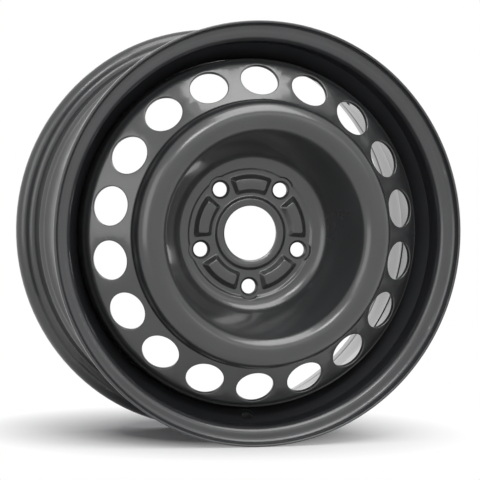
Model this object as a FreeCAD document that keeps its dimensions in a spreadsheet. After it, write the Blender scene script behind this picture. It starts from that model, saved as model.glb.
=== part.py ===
"""Pressed steel car wheel: a rolled rim, a pressed disc and the welds that join them.

Frame: millimetres, wheel axis along Y, origin at the centre of the hub face, outboard side towards -Y.
"""
import FreeCAD, Part
import Sketcher
import math
import os

# Driving dimensions in millimetres and degrees; "out" is measured outboard from the hub face.
SIZES = {
    # rim strip: J-contour flanges, humps, well and ledge
    "rim_gauge": 2.6,
    "rim_width": 165.1,
    "rim_offset": 46.0,
    "flange_radius": 220.1,
    "flange_width": 12.2,
    "flange_bend": 9.5,
    "lip_tilt": 15.0,
    "lip_round": 1.0,
    "bead_radius": 202.8,
    "bead_width": 19.8,
    "bead_taper": 5.0,
    "heel_bend": 6.5,
    "hump_radius": 202.6,
    "hump_run": 5.2,
    "hump_bend": 5.0,
    "hump_foot_bend": 6.0,
    "well_radius": 185.3,
    "well_front": 8.0,
    "well_width": 22.0,
    "well_bend": 10.0,
    "ledge_radius": 196.0,
    "ledge_front": 56.0,
    "ledge_rise": 2.6,
    "ledge_bend": 14.0,
    "ledge_gap": 6.5,
    # valve hole, square to the sloping side of the well
    "valve_hole": 11.3,
    "valve_spot": 17.0,
    "valve_spot_depth": 0.5,
    # disc section from the bore out to the flange that sits in the well
    "disc_gauge": 3.6,
    "bore_radius": 28.55,
    "bore_lead": 3.2,
    "bore_lead_depth": 1.8,
    "collar_radius": 36.0,
    "collar_rise": 3.2,
    "collar_run": 3.0,
    "hub_radius": 66.0,
    "step_rise": 2.3,
    "step_run": 2.6,
    "hub_bend": 2.5,
    "bowl_radius": 80.0,
    "bowl_rise": 0.5,
    "bowl_bend": 16.0,
    "crown_inner": 110.0,
    "crown_outer": 138.2,
    "crown_out": 67.0,
    "crown_bend": 16.0,
    "crease_bend": 4.0,
    "cone_angle": 29.9,
    "seat_bend": 14.0,
    "seat_end": 14.0,
    "seat_clearance": 0.1,
    "least_bend": 0.8,
    # vent holes on the cone
    "vent_count": 18,
    "vent_radius": 160.0,
    "vent_out": 30.15,
    "vent_width": 40.3,
    "vent_height": 35.5,
    "vent_round": 1.0,
    # bolt holes with ball seats, in round recesses
    "bolt_count": 5,
    "bolt_circle": 112.0,
    "bolt_hole": 15.2,
    "ball_radius": 13.0,
    "ball_rim": 20.0,
    "recess_radius": 12.8,
    "recess_slope": 32.0,
    "lobe_radius": 16.4,
    "recess_round": 1.0,
    # raised ridges between the bolt holes
    "ridge_inner": 42.0,
    "ridge_outer": 61.5,
    "ridge_rise": 5.0,
    "ridge_slope": 48.0,
    "ridge_half_angle": 22.5,
    "ridge_corner": 3.5,
    "ridge_top_round": 2.0,
    "ridge_foot_round": 1.5,
    # fillet welds at the end of the disc's flange
    "weld_count": 4,
    "weld_arc": 40.0,
    "weld_leg": 4.5,
    "weld_crown": 0.6,
    # how far cutting tools start clear of the metal, and how deep a ridge is rooted in it
    "tool_clearance": 6.0,
    "root_depth": 1.0,
}

# How close two places are, in millimetres, to count as the same.
SAME_PLACE = 0.01

doc = FreeCAD.newDocument("steel_wheel")
sheet = doc.addObject("Spreadsheet::Sheet", "sizes")
for row, (alias, size) in enumerate(SIZES.items(), start=1):
    sheet.set("A%d" % row, alias)
    sheet.set("B%d" % row, str(size))
    sheet.setAlias("B%d" % row, alias)
doc.recompute()


def cell(text):
    """Expression text with each driving dimension's name turned into its sheet cell."""
    for alias in sorted(SIZES, key=len, reverse=True):
        text = text.replace("{" + alias + "}", "sizes." + alias)
    return text


def value(text):
    """Number that an expression gives now."""
    return float(sheet.evalExpression(cell(text).replace("sizes.", "")))


def bind(thing, path, text):
    thing.setExpression(path, cell(text))


def new_body(label):
    body = doc.addObject("PartDesign::Body", label)
    body.Label = label
    return body


def origin_plane(body, role):
    return next(item for item in body.Origin.OriginFeatures if item.Role == role)


def new_sketch(body, name, plane):
    sketch = body.newObject("Sketcher::SketchObject", name)
    sketch.AttachmentSupport = [(origin_plane(body, plane), "")]
    sketch.MapMode = "FlatFace"
    return sketch


def constrain(sketch, kind, *parts):
    """Adds a constraint; an expression text as the last part becomes its bound size."""
    if isinstance(parts[-1], str):
        text = parts[-1]
        amount = value(text)
        if kind == "Angle":
            amount = math.radians(amount)
            text = "(" + text + ") * 1 deg"
        number = sketch.addConstraint(Sketcher.Constraint(kind, *parts[:-1], amount))
        bind(sketch, "Constraints[%d]" % number, text)
    else:
        sketch.addConstraint(Sketcher.Constraint(kind, *parts))


def pin(sketch, geometry, point, across, up):
    """Fixes a point by its two distances from the sketch's origin."""
    constrain(sketch, "DistanceX", -1, 1, geometry, point, across)
    constrain(sketch, "DistanceY", -1, 1, geometry, point, up)


def turn_between(first, corner, last):
    """Unit directions before and after a corner, and the signed turn there."""
    before = (corner - first).normalize()
    after = (last - corner).normalize()
    turn = math.atan2(before.x * after.y - before.y * after.x, before.dot(after))
    return before, after, turn


def shifted_corners(corners, distance):
    """Corners of the line that runs a set distance to the left of a line of corners."""
    shifted = []
    for index, corner in enumerate(corners):
        first = corners[max(index - 1, 0)]
        last = corners[min(index + 1, len(corners) - 1)]
        if index in (0, len(corners) - 1):
            along = (last - first).normalize()
            shifted.append(corner + FreeCAD.Vector(-along.y, along.x, 0) * distance)
            continue
        before, after, turn = turn_between(first, corner, last)
        left = FreeCAD.Vector(-before.y - after.y, before.x + after.x, 0).normalize()
        shifted.append(corner + left * (distance / math.cos(turn / 2)))
    return shifted


def draw_bent_line(sketch, corners, bends):
    """Draws straight runs joined by tangent arcs; gives the runs' and the arcs' numbers."""
    runs = []
    arcs = []
    start = corners[0]
    for index in range(1, len(corners) - 1):
        before, after, turn = turn_between(corners[index - 1], corners[index], corners[index + 1])
        bend = bends[index - 1]
        reach = bend * math.tan(abs(turn) / 2)
        arc_start = corners[index] - before * reach
        arc_end = corners[index] + after * reach
        inward = FreeCAD.Vector(-before.y, before.x, 0) * math.copysign(bend, turn)
        centre = arc_start + inward
        runs.append(sketch.addGeometry(Part.LineSegment(start, arc_start), False))
        angles = [math.atan2(end.y - centre.y, end.x - centre.x) for end in (arc_start, arc_end)]
        if turn < 0:
            angles.reverse()
        circle = Part.Circle(centre, FreeCAD.Vector(0, 0, 1), bend)
        arcs.append((sketch.addGeometry(Part.ArcOfCircle(circle, *angles), False), turn))
        start = arc_end
    runs.append(sketch.addGeometry(Part.LineSegment(start, corners[-1]), False))
    for index, (arc, turn) in enumerate(arcs):
        arc_in, arc_out = (1, 2) if turn > 0 else (2, 1)
        constrain(sketch, "Tangent", runs[index], 2, arc, arc_in)
        constrain(sketch, "Tangent", arc, arc_out, runs[index + 1], 1)
    return runs, arcs


def strip_section(body, name, bends, gauge):
    """Closed section of a bent strip, as radius across and axial place up.

    The first face goes through the corners in bends, each a radius, an axial place and a bend radius,
    and the second face runs one gauge to its left.
    """
    sketch = new_sketch(body, name, "XY_Plane")
    corners = [FreeCAD.Vector(value(radius), value(axial), 0) for radius, axial, bend in bends]
    radii = [bend for radius, axial, bend in bends[1:-1]]
    runs, arcs = draw_bent_line(sketch, corners, [value(bend) for bend in radii])
    back_radii = []
    for bend, (arc, turn) in zip(radii, arcs):
        inside = "max(%s - %s; {least_bend})" % (bend, gauge)
        back_radii.append(inside if turn > 0 else "%s + %s" % (bend, gauge))
    back_corners = shifted_corners(corners, value(gauge))
    back_runs, back_arcs = draw_bent_line(sketch, back_corners, [value(bend) for bend in back_radii])
    for index, (radius, axial, bend) in enumerate(bends[1:-1]):
        corner = sketch.addGeometry(Part.Point(corners[index + 1]), True)
        constrain(sketch, "PointOnObject", corner, 1, runs[index])
        constrain(sketch, "PointOnObject", corner, 1, runs[index + 1])
        pin(sketch, corner, 1, radius, axial)
        constrain(sketch, "Radius", arcs[index][0], bend)
        constrain(sketch, "Radius", back_arcs[index][0], back_radii[index])
    pin(sketch, runs[0], 1, bends[0][0], bends[0][1])
    pin(sketch, runs[-1], 2, bends[-1][0], bends[-1][1])
    for run, back_run in zip(runs, back_runs):
        constrain(sketch, "Parallel", run, back_run)
        constrain(sketch, "Distance", back_run, 1, run, gauge)
    for run, back_run, end, place in ((runs[0], back_runs[0], 1, 0), (runs[-1], back_runs[-1], 2, -1)):
        cap = sketch.addGeometry(Part.LineSegment(corners[place], back_corners[place]), False)
        constrain(sketch, "Coincident", cap, 1, run, end)
        constrain(sketch, "Coincident", cap, 2, back_run, end)
        constrain(sketch, "Perpendicular", cap, run)
    return sketch


def revolve(body, name, sketch):
    feature = body.newObject("PartDesign::Revolution", name)
    feature.Profile = sketch
    feature.ReferenceAxis = (sketch, ["V_Axis"])
    feature.Angle = 360
    return feature


def tilted_sketch(body, name, axial, height, tilt):
    """Sketch on a plane that faces outboard and up by a tilt, at a place straight over or under the axis."""
    sketch = new_sketch(body, name, "XZ_Plane")
    turn = FreeCAD.Rotation(FreeCAD.Vector(-1, 0, 0), value(tilt))
    sketch.AttachmentOffset = FreeCAD.Placement(FreeCAD.Vector(0, value(height), -value(axial)), turn)
    bind(sketch, "AttachmentOffset.Base.y", height)
    bind(sketch, "AttachmentOffset.Base.z", "-(%s)" % axial)
    bind(sketch, "AttachmentOffset.Rotation.Angle", "(%s) * 1 deg" % tilt)
    return sketch


def cut_straight(body, name, sketch, depth):
    """Pocket from the sketch's plane into the metal, checked to take some away."""
    doc.recompute()
    volume = body.Shape.Volume
    pocket = body.newObject("PartDesign::Pocket", name)
    pocket.Profile = sketch
    pocket.Length = value(depth)
    bind(pocket, "Length", depth)
    doc.recompute()
    if body.Shape.Volume >= volume:
        raise ValueError(name + " cuts nothing")
    return pocket


def spread_round(body, name, feature, count):
    """Repeats a feature evenly round the wheel's axis."""
    pattern = body.newObject("PartDesign::PolarPattern", name)
    pattern.Originals = [feature]
    pattern.Axis = (origin_plane(body, "Y_Axis"), [""])
    pattern.Angle = 360
    bind(pattern, "Occurrences", count)
    body.Tip = pattern
    doc.recompute()
    return pattern


def draw_circle(sketch, across, up, radius):
    centre = FreeCAD.Vector(value(across), value(up), 0)
    circle = sketch.addGeometry(Part.Circle(centre, FreeCAD.Vector(0, 0, 1), value(radius)), False)
    pin(sketch, circle, 3, across, up)
    constrain(sketch, "Radius", circle, radius)


def edges_where(body, wanted):
    """Names of a body's edges whose middle point is wanted."""
    names = []
    for number, edge in enumerate(body.Shape.Edges, start=1):
        middle = edge.valueAt((edge.FirstParameter + edge.LastParameter) / 2)
        if wanted(middle):
            names.append("Edge%d" % number)
    return names


def round_edges(body, name, wanted, radius):
    """Rounds the edges that a test of their middle point picks."""
    doc.recompute()
    base = body.Tip
    names = edges_where(body, wanted)
    fillet = body.newObject("PartDesign::Fillet", name)
    fillet.Base = (base, names)
    fillet.Radius = value(radius)
    bind(fillet, "Radius", radius)
    body.Tip = fillet
    doc.recompute()


def near(first, second):
    return abs(first - second) < SAME_PLACE


def from_axis(place):
    return math.hypot(place.x, place.z)


# Axial places and radii of the rim that several features share.
FRONT_WALL = "({rim_offset} - {rim_width} / 2)"
REAR_WALL = "({rim_offset} + {rim_width} / 2)"
LIP_LEAN = "tan({lip_tilt} * 1 deg)"
LIP_CORNER = "({flange_radius} + {flange_bend} * (1 / cos({lip_tilt} * 1 deg) + " + LIP_LEAN + " - 1))"
LIP_END = "(" + LIP_CORNER + " - {flange_width} * " + LIP_LEAN + ")"
BEAD_END = "({bead_radius} - {bead_width} * tan({bead_taper} * 1 deg))"
FRONT_HUMP = "(" + FRONT_WALL + " + {bead_width} + {hump_run})"
REAR_HUMP = "(" + REAR_WALL + " - {bead_width} - {hump_run})"
WELL_INSIDE = "({well_radius} - {rim_gauge})"
SLOPE_TILT = "(90 - atan(({hump_radius} - {well_radius}) / ({well_front} - " + FRONT_HUMP + ")) / 1 deg)"
SLOPE_TURN = "atan(({hump_radius} - {well_radius}) / ({well_front} - " + FRONT_HUMP + "))"


def make_rim():
    """One rolled strip, with the valve hole in the sloping side of the well."""
    body = new_body("rim")
    bends = [
        (LIP_END, FRONT_WALL + " - {flange_width}", ""),
        (LIP_CORNER, FRONT_WALL, "{flange_bend}"),
        ("{bead_radius}", FRONT_WALL, "{heel_bend}"),
        (BEAD_END, FRONT_WALL + " + {bead_width}", "{hump_foot_bend}"),
        ("{hump_radius}", FRONT_HUMP, "{hump_bend}"),
        ("{well_radius}", "{well_front}", "{well_bend}"),
        ("{well_radius}", "{well_front} + {well_width}", "{well_bend}"),
        ("{ledge_radius}", "{ledge_front}", "{ledge_bend}"),
        ("{ledge_radius} + {ledge_rise}", REAR_HUMP + " - {ledge_gap}", "{hump_foot_bend}"),
        ("{hump_radius}", REAR_HUMP, "{hump_bend}"),
        (BEAD_END, REAR_WALL + " - {bead_width}", "{hump_foot_bend}"),
        ("{bead_radius}", REAR_WALL, "{heel_bend}"),
        (LIP_CORNER, REAR_WALL, "{flange_bend}"),
        (LIP_END, REAR_WALL + " + {flange_width}", ""),
    ]
    revolve(body, "rim_strip", strip_section(body, "rim_section", bends, "{rim_gauge}"))
    doc.recompute()
    lip_radii = (value(LIP_END), value(LIP_END + " - {rim_gauge} * cos({lip_tilt} * 1 deg)"))
    front_lip = value(FRONT_WALL + " - {flange_width} + {rim_gauge}")
    rear_lip = value(REAR_WALL + " + {flange_width} - {rim_gauge}")

    def on_lip(place):
        at_end = place.y < front_lip or place.y > rear_lip
        return at_end and any(near(from_axis(place), radius) for radius in lip_radii)

    round_edges(body, "lip_rounds", on_lip, "{lip_round}")
    # The slope's middle on the drop-centre side, and its direction towards the axis and outboard.
    middle_radius = "(({hump_radius} + {well_radius}) / 2 - {rim_gauge} * cos(" + SLOPE_TURN + "))"
    middle_axial = "((" + FRONT_HUMP + " + {well_front}) / 2 - {rim_gauge} * sin(" + SLOPE_TURN + "))"
    for name, size, depth in (
        ("valve_spot", "{valve_spot}", "{tool_clearance} + {valve_spot_depth}"),
        ("valve_hole", "{valve_hole}", "2 * {tool_clearance}"),
    ):
        axial = middle_axial + " - {tool_clearance} * sin(" + SLOPE_TURN + ")"
        height = "-(" + middle_radius + " - {tool_clearance} * cos(" + SLOPE_TURN + "))"
        sketch = tilted_sketch(body, name + "_outline", axial, height, SLOPE_TILT)
        draw_circle(sketch, "0", "0", size + " / 2")
        cut_straight(body, name, sketch, depth)
    return body


# Levels outboard of the hub face, as axial places.
FLOOR = "(-{disc_gauge})"
STEP_TOP = "(-{disc_gauge} - {step_rise})"
RIDGE_TOP = "(-{disc_gauge} - {ridge_rise})"
SEAT_RADIUS = "(" + WELL_INSIDE + " - {seat_clearance})"


def cone_place(radius):
    """Axial place of the vent cone's outboard face at a radius."""
    return "(-{vent_out} + (%s - {vent_radius}) * tan({cone_angle} * 1 deg))" % radius


def make_disc_blank(body):
    """Pressed dish: collar, hub floor, step, bowl, crown, vent cone and seat flange."""
    step_top_radius = "{hub_radius} + {step_run}"
    bends = [
        ("{bore_radius}", FLOOR + " - {collar_rise}", ""),
        ("{collar_radius}", FLOOR + " - {collar_rise}", "{hub_bend}"),
        ("{collar_radius} + {collar_run}", FLOOR, "{hub_bend}"),
        ("{hub_radius}", FLOOR, "{hub_bend}"),
        (step_top_radius, STEP_TOP, "{hub_bend}"),
        ("{bowl_radius}", STEP_TOP + " - {bowl_rise}", "{bowl_bend}"),
        ("{crown_inner}", "-{crown_out}", "{crown_bend}"),
        ("{crown_outer}", "-{crown_out}", "{crown_bend}"),
        ("{crown_outer}", cone_place("{crown_outer}"), "{crease_bend}"),
        (SEAT_RADIUS, cone_place(SEAT_RADIUS), "{seat_bend}"),
        (SEAT_RADIUS, "{seat_end}", ""),
    ]
    revolve(body, "disc_blank", strip_section(body, "disc_section", bends, "{disc_gauge}"))
    doc.recompute()
    bore_front = value(FLOOR + " - {collar_rise}")
    bore_radius = value("{bore_radius}")
    base = body.Tip
    names = edges_where(body, lambda place: near(from_axis(place), bore_radius) and near(place.y, bore_front))
    lead = body.newObject("PartDesign::Chamfer", "bore_lead")
    lead.Base = (base, names)
    lead.ChamferType = "Two distances"
    lead.Size = value("{bore_lead_depth}")
    lead.Size2 = value("{bore_lead}")
    bind(lead, "Size", "{bore_lead_depth}")
    bind(lead, "Size2", "{bore_lead}")
    body.Tip = lead
    doc.recompute()


def from_bolts(place):
    """Distance of a place from the nearest bolt hole's axis."""
    count = int(value("{bolt_count}"))
    distances = []
    for number in range(count):
        turn = FreeCAD.Rotation(FreeCAD.Vector(0, 1, 0), 360 / count * number)
        bolt = turn.multVec(FreeCAD.Vector(0, 0, value("-{bolt_circle} / 2")))
        distances.append(math.hypot(place.x - bolt.x, place.z - bolt.z))
    return min(distances)


def add_bolt_holes(body):
    """Round lobes behind, and in front recesses with ball-seat bolt holes."""
    lobe = new_sketch(body, "lobe_outline", "XZ_Plane")
    draw_circle(lobe, "0", "-{bolt_circle} / 2", "{lobe_radius}")
    pad = body.newObject("PartDesign::Pad", "lobe")
    pad.Profile = lobe
    bind(pad, "Length", "{disc_gauge}")
    doc.recompute()
    spread_round(body, "lobes", pad, "{bolt_count}")

    sketch = new_sketch(body, "bolt_seat_section", "YZ_Plane")
    axis = "(-{bolt_circle} / 2)"
    behind = "{tool_clearance}"
    front = "(" + RIDGE_TOP + " - {tool_clearance})"
    ball_centre = FLOOR + " - sqrt({ball_radius} ^ 2 - ({ball_rim} / 2) ^ 2)"
    ball_foot = ball_centre + " + sqrt({ball_radius} ^ 2 - ({bolt_hole} / 2) ^ 2)"
    mouth = "{recess_radius} + ({ridge_rise} + {tool_clearance}) * tan({recess_slope} * 1 deg)"
    places = [
        (behind, axis),
        (behind, axis + " + {bolt_hole} / 2"),
        (ball_foot, axis + " + {bolt_hole} / 2"),
        (FLOOR, axis + " + {ball_rim} / 2"),
        (FLOOR, axis + " + {recess_radius}"),
        (front, axis + " + " + mouth),
        (front, axis),
    ]
    points = [FreeCAD.Vector(value(across), value(up), 0) for across, up in places]
    ball_edge = 2
    edges = []
    for index, start in enumerate(points):
        end = points[(index + 1) % len(points)]
        if index == ball_edge:
            centre = FreeCAD.Vector(value(ball_centre), value(axis), 0)
            circle = Part.Circle(centre, FreeCAD.Vector(0, 0, 1), value("{ball_radius}"))
            angles = [math.atan2(point.y - centre.y, point.x - centre.x) for point in (start, end)]
            edges.append(sketch.addGeometry(Part.ArcOfCircle(circle, *angles), False))
        else:
            edges.append(sketch.addGeometry(Part.LineSegment(start, end), False))
    for index, edge in enumerate(edges):
        constrain(sketch, "Coincident", edge, 2, edges[(index + 1) % len(edges)], 1)
    for index, (across, up) in enumerate(places):
        pin(sketch, edges[index], 1, across, up)
    constrain(sketch, "Radius", edges[ball_edge], "{ball_radius}")
    groove = body.newObject("PartDesign::Groove", "bolt_seat")
    groove.Profile = sketch
    groove.ReferenceAxis = (sketch, ["Edge%d" % len(edges)])
    groove.Angle = 360
    doc.recompute()
    spread_round(body, "bolt_seats", groove, "{bolt_count}")
    floor = value(FLOOR)
    floor_radius = value("{recess_radius}")
    widening = value("tan({recess_slope} * 1 deg)")

    def on_recess_edge(place):
        rise = floor - place.y
        return rise > SAME_PLACE and near(from_bolts(place), floor_radius + rise * widening)

    round_edges(body, "recess_rounds", on_recess_edge, "{recess_round}")


def ridge_outline(body, name, axial, inset):
    """Ring sector over the axis, drawn in by an inset on all its sides."""
    sketch = tilted_sketch(body, name, axial, "0", "0")
    inner = "({ridge_inner} + " + inset + ")"
    outer = "({ridge_outer} - " + inset + ")"
    half = "({ridge_half_angle} - 2 * " + inset + " / ({ridge_inner} + {ridge_outer}) * 180 / pi)"
    span = math.radians(value(half))
    upright = math.pi / 2
    face = FreeCAD.Vector(0, 0, 1)
    arcs = []
    for radius in (inner, outer):
        circle = Part.Circle(FreeCAD.Vector(0, 0, 0), face, value(radius))
        arcs.append(sketch.addGeometry(Part.ArcOfCircle(circle, upright - span, upright + span), False))
        constrain(sketch, "Coincident", arcs[-1], 3, -1, 1)
        constrain(sketch, "Radius", arcs[-1], radius)
    for end, side, tilt in ((1, -1, "90 - " + half), (2, 1, "90 + " + half)):
        out = FreeCAD.Vector(math.cos(upright + side * span), math.sin(upright + side * span), 0)
        edge = sketch.addGeometry(Part.LineSegment(out * value(inner), out * value(outer)), False)
        constrain(sketch, "Coincident", edge, 1, arcs[0], end)
        constrain(sketch, "Coincident", edge, 2, arcs[1], end)
        constrain(sketch, "PointOnObject", -1, 1, edge)
        constrain(sketch, "Angle", edge, tilt)
    return sketch


def loft_ridge(body, kind, name, base_axial, base_inset, top_axial, top_inset):
    base = ridge_outline(body, name + "_base", base_axial, base_inset)
    top = ridge_outline(body, name + "_top", top_axial, top_inset)
    loft = body.newObject("PartDesign::" + kind, name)
    loft.Profile = base
    loft.Sections = [(top, [""])]
    loft.Ruled = True
    doc.recompute()
    spread_round(body, name + "s", loft, "{bolt_count}")


def add_ridges(body):
    """Ridges raised between the bolt holes, hollow behind, one sheet thick all over."""
    run = "(%s / tan({ridge_slope} * 1 deg))"
    loft_ridge(
        body, "AdditiveLoft", "ridge",
        FLOOR + " + {root_depth}", "(-" + run % "{root_depth}" + ")",
        RIDGE_TOP, run % "{ridge_rise}",
    )
    floor = value(FLOOR)
    top = value(RIDGE_TOP)
    inner = value("{ridge_inner}") - SAME_PLACE
    outer = value("{ridge_outer}") + SAME_PLACE
    recess = value("{recess_radius}")
    for name, level, radius in (
        ("ridge_corners", (floor + top) / 2, "{ridge_corner}"),
        ("ridge_tops", top, "{ridge_top_round}"),
        ("ridge_feet", floor, "{ridge_foot_round}"),
    ):
        def on_ridge(place):
            in_ring = inner < from_axis(place) < outer and from_bolts(place) > recess + SAME_PLACE
            return in_ring and near(place.y, level)

        round_edges(body, name, on_ridge, radius)
    corner_shift = "{disc_gauge} * tan({ridge_slope} / 2 * 1 deg)"
    loft_ridge(
        body, "SubtractiveLoft", "ridge_hollow",
        "{root_depth}", "(" + corner_shift + " - " + run % "{root_depth}" + ")",
        "(-{ridge_rise})", "(" + corner_shift + " + " + run % "{ridge_rise}" + ")",
    )


def add_vents(body):
    """Oval vent holes cut square to the cone."""
    axial = "(-{vent_out} - {tool_clearance} * cos({cone_angle} * 1 deg))"
    height = "({vent_radius} + {tool_clearance} * sin({cone_angle} * 1 deg))"
    sketch = tilted_sketch(body, "vent_outline", axial, height, "{cone_angle}")
    width = value("{vent_width}") / 2
    rise = value("{vent_height}") / 2
    ellipse = Part.Ellipse(FreeCAD.Vector(width, 0, 0), FreeCAD.Vector(0, rise, 0), FreeCAD.Vector(0, 0, 0))
    oval = sketch.addGeometry(ellipse, False)
    sketch.exposeInternalGeometry(oval)
    long_axis = oval + 1
    short_axis = oval + 2
    constrain(sketch, "Coincident", oval, 3, -1, 1)
    constrain(sketch, "Horizontal", long_axis)
    constrain(sketch, "Distance", long_axis, "{vent_width}")
    constrain(sketch, "Distance", short_axis, "{vent_height}")
    pocket = cut_straight(body, "vent", sketch, "2 * {tool_clearance}")
    spread_round(body, "vents", pocket, "{vent_count}")
    reach = value("{vent_height} / 2")
    middle = value("{vent_radius}")

    def on_vent_edge(place):
        radius = from_axis(place)
        return abs(radius - middle) < reach and near(place.y, value(cone_place(str(radius))))

    round_edges(body, "vent_rounds", on_vent_edge, "{vent_round}")


def make_disc():
    body = new_body("disc")
    make_disc_blank(body)
    add_bolt_holes(body)
    add_ridges(body)
    add_vents(body)
    return body


def make_weld(number):
    """Fillet weld between the end of the disc's flange and the rim's well, one arc of the round."""
    body = new_body("weld_seam_%d" % (number + 1))
    sketch = new_sketch(body, body.Name + "_section", "XY_Plane")
    foot = ("(" + WELL_INSIDE + " - {weld_leg})", "{seat_end}")
    root = (WELL_INSIDE, "{seat_end}")
    toe = (WELL_INSIDE, "{seat_end} + {weld_leg}")
    corners = [FreeCAD.Vector(value(radius), value(axial), 0) for radius, axial in (foot, root, toe)]
    bulge = value("{weld_crown}") / math.sqrt(2)
    crest = (corners[0] + corners[2]) / 2 + FreeCAD.Vector(-bulge, bulge, 0)
    floor = sketch.addGeometry(Part.LineSegment(corners[0], corners[1]), False)
    wall = sketch.addGeometry(Part.LineSegment(corners[1], corners[2]), False)
    face = sketch.addGeometry(Part.Arc(corners[2], crest, corners[0]), False)
    constrain(sketch, "Coincident", floor, 2, wall, 1)
    constrain(sketch, "Coincident", wall, 2, face, 1)
    constrain(sketch, "Coincident", face, 2, floor, 1)
    for line, place in ((floor, foot), (wall, root), (face, toe)):
        pin(sketch, line, 1, *place)
    constrain(sketch, "Radius", face, "({weld_leg} ^ 2 / 2 + {weld_crown} ^ 2) / (2 * {weld_crown})")
    feature = body.newObject("PartDesign::Revolution", body.Name + "_bead")
    feature.Profile = sketch
    feature.ReferenceAxis = (sketch, ["V_Axis"])
    bind(feature, "Angle", "{weld_arc}")
    turn = 360 / value("{weld_count}") * number
    upright = FreeCAD.Vector(0, 1, 0)
    body.Placement = FreeCAD.Placement(FreeCAD.Vector(0, 0, 0), FreeCAD.Rotation(upright, turn))
    bind(body, "Placement.Rotation.Angle", "360 / {weld_count} * %d * 1 deg" % number)
    return body


pieces = [make_rim(), make_disc()]
for seam in range(int(SIZES["weld_count"])):
    pieces.append(make_weld(seam))
doc.recompute()

for thing in doc.Objects:
    if "Invalid" in thing.State or "Error" in thing.State:
        raise ValueError("failed: " + thing.Label)
for piece in pieces:
    if piece.Shape.isNull() or not piece.Shape.isValid():
        raise ValueError("bad shape: " + piece.Label)

os.makedirs("parts", exist_ok=True)
for piece in pieces:
    piece.Shape.exportStep("parts/%s.step" % piece.Label)
    print(piece.Label, "solids", len(piece.Shape.Solids), "volume %.0f" % piece.Shape.Volume)
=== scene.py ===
"""Studio picture of the pressed steel wheel: paint finish, floor, lights and camera."""
import bmesh
import bpy
import math
from mathutils import Matrix, Vector


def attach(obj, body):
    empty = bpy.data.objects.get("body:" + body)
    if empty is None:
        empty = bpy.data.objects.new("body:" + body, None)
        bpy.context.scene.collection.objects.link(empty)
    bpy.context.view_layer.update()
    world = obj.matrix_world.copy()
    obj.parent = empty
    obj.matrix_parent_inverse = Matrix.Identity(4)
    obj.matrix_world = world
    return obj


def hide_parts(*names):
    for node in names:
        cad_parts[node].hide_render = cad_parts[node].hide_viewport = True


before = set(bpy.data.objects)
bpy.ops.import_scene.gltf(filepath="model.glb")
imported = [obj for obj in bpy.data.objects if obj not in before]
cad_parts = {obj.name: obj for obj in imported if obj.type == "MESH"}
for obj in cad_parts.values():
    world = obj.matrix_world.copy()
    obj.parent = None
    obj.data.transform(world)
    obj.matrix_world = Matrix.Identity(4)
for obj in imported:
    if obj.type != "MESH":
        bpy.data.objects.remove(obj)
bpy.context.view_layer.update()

# Camera, fitted to the photograph: angles in degrees, lengths in metres.
CAMERA_AZIMUTH = -17.243
CAMERA_ELEVATION = 1.941
CAMERA_ROLL = 0.855
CAMERA_DISTANCE = 2.3846
CAMERA_TARGET = Vector((-0.00895, 0.00235, -0.00763))
CAMERA_LENS = 170.27
SENSOR_WIDTH = 36.0

# Floor just under the flanges: its lit colour near the wheel gives way to a white glow further off.
FLOOR_HEIGHT = -0.2201
FLOOR_REACH = 12.0
FLOOR_COLOUR = (0.88, 0.88, 0.89, 1)
GLOW_NEAR = 0.0
GLOW_FAR = 1.0
GLOW_START = 0.1
GLOW_FULL = 0.26
# The patch of lit floor that keeps the shadow lies a little behind the wheel, slightly wider than deep.
SHADOW_SHIFT = (0.0, -0.10, -FLOOR_HEIGHT)
SHADOW_SHAPE = (0.95, 1.0, 1.0)

ROOM_COLOUR = (0.10, 0.102, 0.108, 1)

# Copies of the pieces: corners closer than this are one, and bends under this angle look smooth.
MERGE_DISTANCE = 1e-6
SMOOTH_ANGLE = math.radians(32)

# Paint: how strongly it mirrors, and the sizes of its surface marks in metres.
PAINT_IOR = 1.65
COAT_ROUGHNESS = 0.12
PEEL_SIZE = 0.0016
PEEL_DEPTH = 0.00004
CLOUD_SIZE = 0.06
CLOUD_TONE = (0.8, 1.25)
CLOUD_ROUGHNESS = (1.12, 0.9)
SPECK_SIZE = 0.0009
SPECK_COVER = (0.0, 0.35)
SPECK_NOISE = (0.68, 0.82)
DUST_COLOUR = (0.13, 0.125, 0.115, 1)
RIPPLE_COUNT = 460
RIPPLE_DEPTH = 0.0002


def aim(position, target, roll=0.0):
    """Matrix of something at a position that looks at a target, rolled about its line of sight."""
    back = (position - target).normalized()
    right = Vector((0, 0, 1)).cross(back).normalized()
    up = back.cross(right)
    turned_right = right * math.cos(roll) + up * math.sin(roll)
    turned_up = up * math.cos(roll) - right * math.sin(roll)
    turn = Matrix((turned_right, turned_up, back)).transposed().to_4x4()
    return Matrix.Translation(position) @ turn


def around(azimuth, elevation, distance, target):
    """Point at an azimuth and elevation round a target; azimuth 0 is outboard of the wheel."""
    turn = math.radians(azimuth)
    rise = math.radians(elevation)
    away = Vector((math.sin(turn) * math.cos(rise), -math.cos(turn) * math.cos(rise), math.sin(rise)))
    return target + away * distance


def smooth_copy(node):
    """Copy of a wheel piece with shared corners, smooth over its bends and crisp at its cut edges."""
    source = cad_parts[node]
    mesh = source.data.copy()
    mesh.name = node + "_skin"
    shape = bmesh.new()
    shape.from_mesh(mesh)
    bmesh.ops.remove_doubles(shape, verts=shape.verts, dist=MERGE_DISTANCE)
    for face in shape.faces:
        face.smooth = True
    for edge in shape.edges:
        edge.smooth = len(edge.link_faces) == 2 and edge.calc_face_angle() < SMOOTH_ANGLE
    shape.to_mesh(mesh)
    shape.free()
    piece = bpy.data.objects.new(node + "_skin", mesh)
    bpy.context.scene.collection.objects.link(piece)
    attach(piece, "root")
    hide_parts(node)
    return piece


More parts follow.
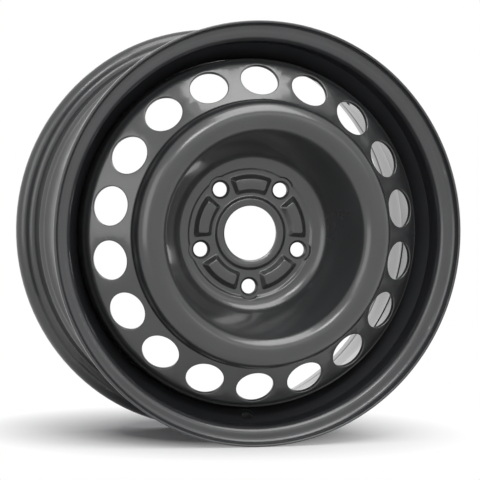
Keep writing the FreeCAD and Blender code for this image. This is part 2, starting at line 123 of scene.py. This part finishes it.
def add_node(tree, kind, settings=None, sockets=None):
    """Adds a shader node, sets its options and its unlinked sockets."""
    node = tree.nodes.new("ShaderNode" + kind)
    for option, choice in (settings or {}).items():
        setattr(node, option, choice)
    for socket, amount in (sockets or {}).items():
        node.inputs[socket].default_value = amount
    return node


def noise_at(tree, place, size, detail):
    """Noise whose features are about a size in metres."""
    noise = add_node(tree, "TexNoise", sockets={"Scale": 1 / size, "Detail": detail})
    tree.links.new(place, noise.inputs["Vector"])
    return noise.outputs["Fac"]


def spread(tree, amount, lowest, highest, from_low=0.3, from_high=0.7):
    """Maps a stretch of an amount to a range: unless told otherwise, the middle stretch of a noise."""
    limits = {"From Min": from_low, "From Max": from_high, "To Min": lowest, "To Max": highest}
    ranged = add_node(tree, "MapRange", sockets=limits)
    tree.links.new(amount, ranged.inputs["Value"])
    return ranged.outputs["Result"]


def make_paint_group():
    """Shared paint effects: cloudy tone, roughness that varies with it, dust specks and orange peel."""
    group = bpy.data.node_groups.new("black_paint_surface", "ShaderNodeTree")
    taken = {"Tone": "Color", "Roughness": "Float", "Peel": "Float"}
    given = {"Colour": "Color", "Roughness": "Float", "Normal": "Vector"}
    for way, sockets in (("INPUT", taken), ("OUTPUT", given)):
        for name, kind in sockets.items():
            group.interface.new_socket(name, in_out=way, socket_type="NodeSocket" + kind)
    entry = group.nodes.new("NodeGroupInput")
    exit_node = group.nodes.new("NodeGroupOutput")
    place = add_node(group, "TexCoord").outputs["Object"]
    cloud = noise_at(group, place, CLOUD_SIZE, 4)
    speck = noise_at(group, place, SPECK_SIZE, 2)
    peel = noise_at(group, place, PEEL_SIZE, 2)

    shade = add_node(group, "Mix", {"data_type": "RGBA", "blend_type": "MULTIPLY"}, {"Factor": 1.0})
    grey = add_node(group, "CombineColor")
    cloudy = spread(group, cloud, *CLOUD_TONE)
    for channel in ("Red", "Green", "Blue"):
        group.links.new(cloudy, grey.inputs[channel])
    group.links.new(entry.outputs["Tone"], shade.inputs["A"])
    group.links.new(grey.outputs["Color"], shade.inputs["B"])
    dust = add_node(group, "Mix", {"data_type": "RGBA"}, {"B": DUST_COLOUR})
    group.links.new(spread(group, speck, *SPECK_COVER, *SPECK_NOISE), dust.inputs["Factor"])
    group.links.new(shade.outputs["Result"], dust.inputs["A"])
    group.links.new(dust.outputs["Result"], exit_node.inputs["Colour"])

    sheen = add_node(group, "Math", {"operation": "MULTIPLY"})
    group.links.new(entry.outputs["Roughness"], sheen.inputs[0])
    group.links.new(spread(group, cloud, *CLOUD_ROUGHNESS), sheen.inputs[1])
    group.links.new(sheen.outputs["Value"], exit_node.inputs["Roughness"])

    bump = add_node(group, "Bump", sockets={"Distance": PEEL_DEPTH})
    group.links.new(entry.outputs["Peel"], bump.inputs["Strength"])
    group.links.new(peel, bump.inputs["Height"])
    group.links.new(bump.outputs["Normal"], exit_node.inputs["Normal"])
    return group


def weld_ripples(tree, normal):
    """Normal with the scalloped ripples that a weld leaves, evenly spaced round the wheel's axis."""
    place = add_node(tree, "TexCoord").outputs["Object"]
    lie_down = add_node(tree, "Mapping", sockets={"Rotation": (math.pi / 2, 0, 0)})
    tree.links.new(place, lie_down.inputs["Vector"])
    turn = add_node(tree, "TexGradient", {"gradient_type": "RADIAL"})
    tree.links.new(lie_down.outputs["Vector"], turn.inputs["Vector"])
    phase = add_node(tree, "Math", {"operation": "MULTIPLY"})
    phase.inputs[1].default_value = 2 * math.pi * RIPPLE_COUNT
    tree.links.new(turn.outputs["Fac"], phase.inputs[0])
    wave = add_node(tree, "Math", {"operation": "SINE"})
    tree.links.new(phase.outputs[0], wave.inputs[0])
    bump = add_node(tree, "Bump", sockets={"Distance": RIPPLE_DEPTH})
    tree.links.new(wave.outputs[0], bump.inputs["Height"])
    tree.links.new(normal, bump.inputs["Normal"])
    return bump.outputs["Normal"]


def paint_material(name, group, tone, roughness, peel, coat):
    """Semi-gloss black paint with the shared surface effects."""
    material = bpy.data.materials.new(name)
    material.use_nodes = True
    tree = material.node_tree
    shader = tree.nodes["Principled BSDF"]
    shader.inputs["IOR"].default_value = PAINT_IOR
    shader.inputs["Coat Weight"].default_value = coat
    shader.inputs["Coat Roughness"].default_value = COAT_ROUGHNESS
    look = {"Tone": tone, "Roughness": roughness, "Peel": peel}
    surface = add_node(tree, "Group", {"node_tree": group}, look)
    tree.links.new(surface.outputs["Colour"], shader.inputs["Base Color"])
    tree.links.new(surface.outputs["Roughness"], shader.inputs["Roughness"])
    normal = surface.outputs["Normal"]
    if name.startswith("weld"):
        normal = weld_ripples(tree, normal)
    tree.links.new(normal, shader.inputs["Normal"])
    return material


def add_camera():
    data = bpy.data.cameras.new("photo_camera")
    data.lens = CAMERA_LENS
    data.sensor_width = SENSOR_WIDTH
    camera = bpy.data.objects.new("photo_camera", data)
    bpy.context.scene.collection.objects.link(camera)
    position = around(CAMERA_AZIMUTH, CAMERA_ELEVATION, CAMERA_DISTANCE, CAMERA_TARGET)
    camera.matrix_world = aim(position, CAMERA_TARGET, math.radians(CAMERA_ROLL))
    bpy.context.scene.camera = camera


def seen_rays(tree):
    """One for rays that the camera sees, also mirrored or passed on, and none for light on the wheel."""
    path = add_node(tree, "LightPath")
    mirrored = add_node(tree, "Math", {"operation": "MAXIMUM"})
    tree.links.new(path.outputs["Is Glossy Ray"], mirrored.inputs[0])
    tree.links.new(path.outputs["Is Transmission Ray"], mirrored.inputs[1])
    seen = add_node(tree, "Math", {"operation": "MAXIMUM"})
    tree.links.new(path.outputs["Is Camera Ray"], seen.inputs[0])
    tree.links.new(mirrored.outputs[0], seen.inputs[1])
    return seen.outputs[0]


def floor_material():
    """Pale matt floor that glows white to the eye away from the wheel, and keeps its shadow near it."""
    material = bpy.data.materials.new("floor_white")
    material.use_nodes = True
    tree = material.node_tree
    tree.nodes.clear()
    out = add_node(tree, "OutputMaterial")
    mix = add_node(tree, "MixShader")
    matt = add_node(tree, "BsdfDiffuse", sockets={"Color": FLOOR_COLOUR})
    glow = add_node(tree, "Emission", sockets={"Strength": 1.0})
    place = add_node(tree, "TexCoord").outputs["Object"]
    away = add_node(tree, "VectorMath", {"operation": "LENGTH"})
    patch = add_node(tree, "Mapping", sockets={"Location": SHADOW_SHIFT, "Scale": SHADOW_SHAPE})
    tree.links.new(place, patch.inputs["Vector"])
    tree.links.new(patch.outputs["Vector"], away.inputs[0])
    level = spread(tree, away.outputs["Value"], GLOW_NEAR, GLOW_FAR, GLOW_START, GLOW_FULL)
    share = add_node(tree, "Math", {"operation": "MULTIPLY"})
    tree.links.new(seen_rays(tree), share.inputs[0])
    tree.links.new(level, share.inputs[1])
    tree.links.new(share.outputs[0], mix.inputs[0])
    tree.links.new(matt.outputs[0], mix.inputs[1])
    tree.links.new(glow.outputs[0], mix.inputs[2])
    tree.links.new(mix.outputs[0], out.inputs["Surface"])
    return material


def add_floor():
    shape = bmesh.new()
    bmesh.ops.create_grid(shape, x_segments=1, y_segments=1, size=FLOOR_REACH)
    bmesh.ops.translate(shape, verts=shape.verts, vec=(0, 0, FLOOR_HEIGHT))
    mesh = bpy.data.meshes.new("floor")
    shape.to_mesh(mesh)
    shape.free()
    floor = bpy.data.objects.new("floor", mesh)
    bpy.context.scene.collection.objects.link(floor)
    mesh.materials.append(floor_material())


def add_world():
    """Dim room that is white where the camera looks past the wheel, and in what the paint mirrors."""
    world = bpy.data.worlds.new("studio")
    bpy.context.scene.world = world
    world.use_nodes = True
    tree = world.node_tree
    tree.nodes.clear()
    out = add_node(tree, "OutputWorld")
    mix = add_node(tree, "MixShader")
    white = add_node(tree, "Background", sockets={"Color": (1, 1, 1, 1), "Strength": 1.0})
    room = add_node(tree, "Background", sockets={"Color": ROOM_COLOUR, "Strength": 1.0})
    tree.links.new(seen_rays(tree), mix.inputs[0])
    tree.links.new(room.outputs[0], mix.inputs[1])
    tree.links.new(white.outputs[0], mix.inputs[2])
    tree.links.new(mix.outputs[0], out.inputs["Surface"])


def add_softbox(name, position, target, width, height, brightness):
    """Rectangular light of an even brightness, unseen by the camera."""
    data = bpy.data.lights.new(name, "AREA")
    data.shape = "RECTANGLE"
    data.size = width
    data.size_y = height
    data.energy = brightness * width * height * math.pi
    lamp = bpy.data.objects.new(name, data)
    bpy.context.scene.collection.objects.link(lamp)
    lamp.matrix_world = aim(position, target)
    lamp.visible_camera = False


# Lamps round the wheel: azimuth and elevation in degrees, then distance, width and height in metres
# and brightness.
LAMPS_ROUND_WHEEL = {
    "overhead_softbox": (20, 58, 1.7, 1.1, 1.35, 3.9),
    "front_softbox": (24, 17, 2.3, 1.3, 0.55, 0.8),
    "key_softbox": (-12, 35, 1.8, 0.5, 0.35, 9.0),
    "left_softbox": (-48, 12, 1.7, 0.9, 1.2, 1.5),
    "right_softbox": (108, 8, 1.6, 0.5, 1.3, 3.4),
}
# Lamps behind the wheel, one into the barrel: place and target, then width, height and brightness.
WHEEL_MIDDLE = Vector((0, 0, 0))
LAMPS_BEHIND_WHEEL = {
    "barrel_softbox": (Vector((0.06, 0.62, 0.0)), Vector((0.16, 0.06, 0.0)), 0.34, 0.42, 0.35),
    "backdrop_softbox": (Vector((0.0, 1.3, 0.55)), WHEEL_MIDDLE, 1.4, 0.5, 0.9),
}


def light_studio():
    for name, (azimuth, elevation, distance, *shape) in LAMPS_ROUND_WHEEL.items():
        add_softbox(name, around(azimuth, elevation, distance, WHEEL_MIDDLE), WHEEL_MIDDLE, *shape)
    for name, setting in LAMPS_BEHIND_WHEEL.items():
        add_softbox(name, *setting)


# Each paint's tone, roughness, orange peel and clear coat.
PAINTS = {
    "rim_paint": ((0.022, 0.023, 0.025, 1), 0.32, 0.5, 0.4),
    "disc_paint": ((0.019, 0.020, 0.021, 1), 0.30, 0.5, 0.6),
    "weld_paint": ((0.026, 0.027, 0.028, 1), 0.36, 1.0, 0.3),
}


def dress_wheel():
    group = make_paint_group()
    finishes = {slot: paint_material(slot + "_finish", group, *look) for slot, look in PAINTS.items()}
    for node in sorted(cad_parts):
        slot = "weld_paint" if node.startswith("weld") else node + "_paint"
        piece = smooth_copy(node)
        piece.data.materials.clear()
        piece.data.materials.append(finishes[slot])


dress_wheel()
add_camera()
add_floor()
add_world()
light_studio()
bpy.context.scene.view_settings.view_transform = "Standard"
